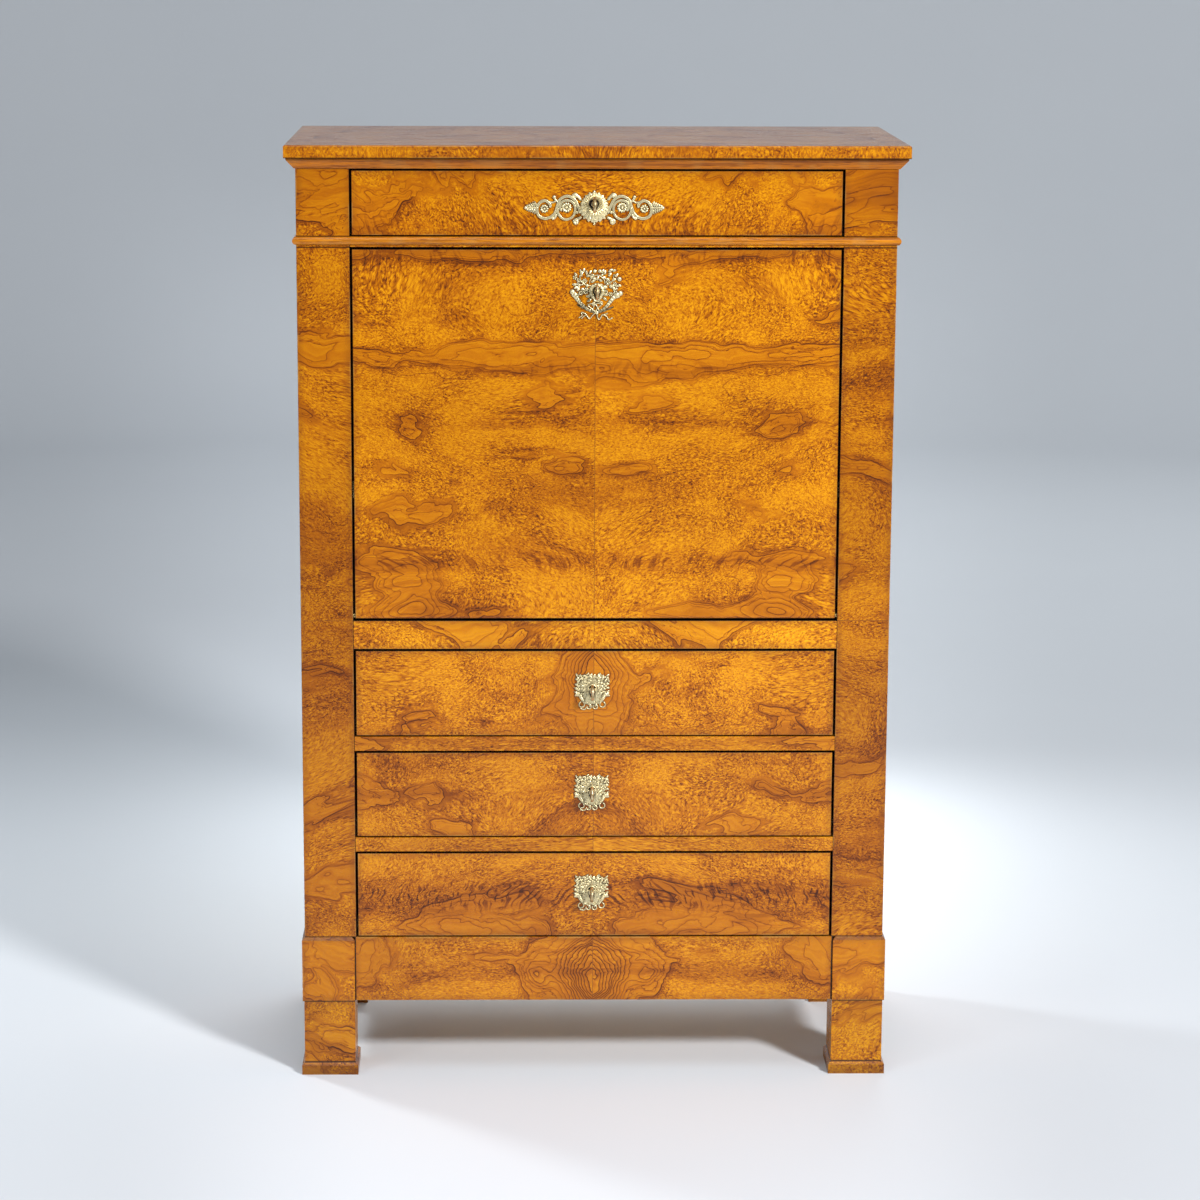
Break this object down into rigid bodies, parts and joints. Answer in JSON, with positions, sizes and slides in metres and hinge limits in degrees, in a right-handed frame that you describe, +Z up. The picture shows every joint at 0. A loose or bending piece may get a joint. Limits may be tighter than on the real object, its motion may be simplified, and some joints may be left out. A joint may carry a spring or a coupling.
{
  "type": "escritoire",
  "caption": "Tall drop-front writing cabinet in figured ash veneer: frieze drawer, fall that opens to a desk with a fitted gallery, long drawers below, gilt mounts and keys.",
  "frame": {"origin": "on the floor, under the middle of the cabinet's outline, keys included", "axes": "+X to the right seen from the front, +Y to the back, +Z up"},
  "size_m": [0.966, 0.496, 1.5],
  "materials": {
    "burr_ash": "satin shellac over burr veneer",
    "pine": "planed and waxed",
    "cherry": "satin shellac",
    "leather": "waxed, tooled border",
    "gilt_brass": "aged gilding",
    "brass": "satin",
    "iron": "forged and browned"
  },
  "bodies": {
    "cabinet": {"top_board": "burr_ash", "cornice_moulding": "burr_ash", "front_rails": "burr_ash", "fall_rail": "burr_ash", "pilaster_left": "burr_ash", "pilaster_right": "burr_ash", "astragal": "burr_ash", "plinth_front": "burr_ash", "plinth_blocks": "burr_ash", "plinth_frame": "burr_ash", "front_feet": "burr_ash", "rear_feet": "burr_ash", "side_left": "burr_ash", "side_right": "burr_ash", "dust_boards": "pine", "drawer_guides": "pine", "framed_back": "pine", "writing_floor": "cherry", "compartment_linings": "cherry", "gallery_case": "cherry", "quadrant_keepers": "brass", "pivot_sockets": "brass"},
    "fall": {"fall_panel": "burr_ash", "writing_leather": "leather", "fall_pivots": "iron", "fall_quadrants": "brass", "fall_lock": "iron", "fall_escutcheon": "gilt_brass"},
    "lower_drawer": {"lower_drawer_front": "burr_ash", "lower_drawer_box": "pine", "lower_drawer_lock": "iron", "lower_drawer_escutcheon": "gilt_brass"},
    "middle_drawer": {"middle_drawer_front": "burr_ash", "middle_drawer_box": "pine", "middle_drawer_lock": "iron", "middle_drawer_escutcheon": "gilt_brass"},
    "upper_drawer": {"upper_drawer_front": "burr_ash", "upper_drawer_box": "pine", "upper_drawer_lock": "iron", "upper_drawer_escutcheon": "gilt_brass"},
    "frieze_drawer": {"frieze_drawer_front": "burr_ash", "frieze_drawer_box": "pine", "frieze_drawer_lock": "iron", "frieze_drawer_escutcheon": "gilt_brass"},
    "small_drawer_left_low": {"small_drawer_left_low": "cherry"},
    "small_drawer_left_middle": {"small_drawer_left_middle": "cherry"},
    "small_drawer_left_high": {"small_drawer_left_high": "cherry"},
    "small_drawer_right_low": {"small_drawer_right_low": "cherry"},
    "small_drawer_right_middle": {"small_drawer_right_middle": "cherry"},
    "small_drawer_right_high": {"small_drawer_right_high": "cherry"},
    "fall_key": {"fall_key": "gilt_brass"},
    "fall_bolt": {"fall_bolt": "iron"},
    "frieze_drawer_key": {"frieze_drawer_key": "gilt_brass"},
    "frieze_drawer_bolt": {"frieze_drawer_bolt": "iron"},
    "upper_drawer_key": {"upper_drawer_key": "gilt_brass"},
    "upper_drawer_bolt": {"upper_drawer_bolt": "iron"},
    "middle_drawer_key": {"middle_drawer_key": "gilt_brass"},
    "middle_drawer_bolt": {"middle_drawer_bolt": "iron"},
    "lower_drawer_key": {"lower_drawer_key": "gilt_brass"},
    "lower_drawer_bolt": {"lower_drawer_bolt": "iron"}
  },
  "joints": [
    {"name": "fall_hinge", "type": "hinge", "parent": "cabinet", "child": "fall", "pos_m": [0, -0.203, 0.758], "axis": [1, 0, 0], "range_deg": [0, 90]},
    {"name": "lower_drawer_slide", "type": "slide", "parent": "cabinet", "child": "lower_drawer", "axis": [0, -1, 0], "range_m": [0, 0.3]},
    {"name": "middle_drawer_slide", "type": "slide", "parent": "cabinet", "child": "middle_drawer", "axis": [0, -1, 0], "range_m": [0, 0.3]},
    {"name": "upper_drawer_slide", "type": "slide", "parent": "cabinet", "child": "upper_drawer", "axis": [0, -1, 0], "range_m": [0, 0.3]},
    {"name": "frieze_drawer_slide", "type": "slide", "parent": "cabinet", "child": "frieze_drawer", "axis": [0, -1, 0], "range_m": [0, 0.3]},
    {"name": "small_drawer_left_low_slide", "type": "slide", "parent": "cabinet", "child": "small_drawer_left_low", "axis": [0, -1, 0], "range_m": [0, 0.09]},
    {"name": "small_drawer_left_middle_slide", "type": "slide", "parent": "cabinet", "child": "small_drawer_left_middle", "axis": [0, -1, 0], "range_m": [0, 0.09]},
    {"name": "small_drawer_left_high_slide", "type": "slide", "parent": "cabinet", "child": "small_drawer_left_high", "axis": [0, -1, 0], "range_m": [0, 0.09]},
    {"name": "small_drawer_right_low_slide", "type": "slide", "parent": "cabinet", "child": "small_drawer_right_low", "axis": [0, -1, 0], "range_m": [0, 0.09]},
    {"name": "small_drawer_right_middle_slide", "type": "slide", "parent": "cabinet", "child": "small_drawer_right_middle", "axis": [0, -1, 0], "range_m": [0, 0.09]},
    {"name": "small_drawer_right_high_slide", "type": "slide", "parent": "cabinet", "child": "small_drawer_right_high", "axis": [0, -1, 0], "range_m": [0, 0.09]},
    {"name": "fall_key_turn", "type": "hinge", "parent": "fall", "child": "fall_key", "pos_m": [0, -0.209, 1.275], "axis": [0, 1, 0], "range_deg": [0, 360]},
    {"name": "fall_bolt_slide", "type": "slide", "parent": "fall", "child": "fall_bolt", "axis": [0, 0, 1], "range_m": [0, 0.008]},
    {"name": "frieze_drawer_key_turn", "type": "hinge", "parent": "frieze_drawer", "child": "frieze_drawer_key", "pos_m": [-0.0045, -0.209, 1.4095], "axis": [0, 1, 0], "range_deg": [0, 360]},
    {"name": "frieze_drawer_bolt_slide", "type": "slide", "parent": "frieze_drawer", "child": "frieze_drawer_bolt", "axis": [0, 0, 1], "range_m": [0, 0.008]},
    {"name": "upper_drawer_key_turn", "type": "hinge", "parent": "upper_drawer", "child": "upper_drawer_key", "pos_m": [-0.0045, -0.209, 0.64], "axis": [0, 1, 0], "range_deg": [0, 360]},
    {"name": "upper_drawer_bolt_slide", "type": "slide", "parent": "upper_drawer", "child": "upper_drawer_bolt", "axis": [0, 0, 1], "range_m": [0, 0.008]},
    {"name": "middle_drawer_key_turn", "type": "hinge", "parent": "middle_drawer", "child": "middle_drawer_key", "pos_m": [-0.0045, -0.209, 0.474], "axis": [0, 1, 0], "range_deg": [0, 360]},
    {"name": "middle_drawer_bolt_slide", "type": "slide", "parent": "middle_drawer", "child": "middle_drawer_bolt", "axis": [0, 0, 1], "range_m": [0, 0.008]},
    {"name": "lower_drawer_key_turn", "type": "hinge", "parent": "lower_drawer", "child": "lower_drawer_key", "pos_m": [-0.0045, -0.209, 0.308], "axis": [0, 1, 0], "range_deg": [0, 360]},
    {"name": "lower_drawer_bolt_slide", "type": "slide", "parent": "lower_drawer", "child": "lower_drawer_bolt", "axis": [0, 0, 1], "range_m": [0, 0.008]}
  ],
  "couplings": [
    {"joint": "fall_key_turn", "follows": "fall_bolt_slide", "rad_per_m": 785.4},
    {"joint": "frieze_drawer_key_turn", "follows": "frieze_drawer_bolt_slide", "rad_per_m": 785.4},
    {"joint": "upper_drawer_key_turn", "follows": "upper_drawer_bolt_slide", "rad_per_m": 785.4},
    {"joint": "middle_drawer_key_turn", "follows": "middle_drawer_bolt_slide", "rad_per_m": 785.4},
    {"joint": "lower_drawer_key_turn", "follows": "lower_drawer_bolt_slide", "rad_per_m": 785.4}
  ]
}
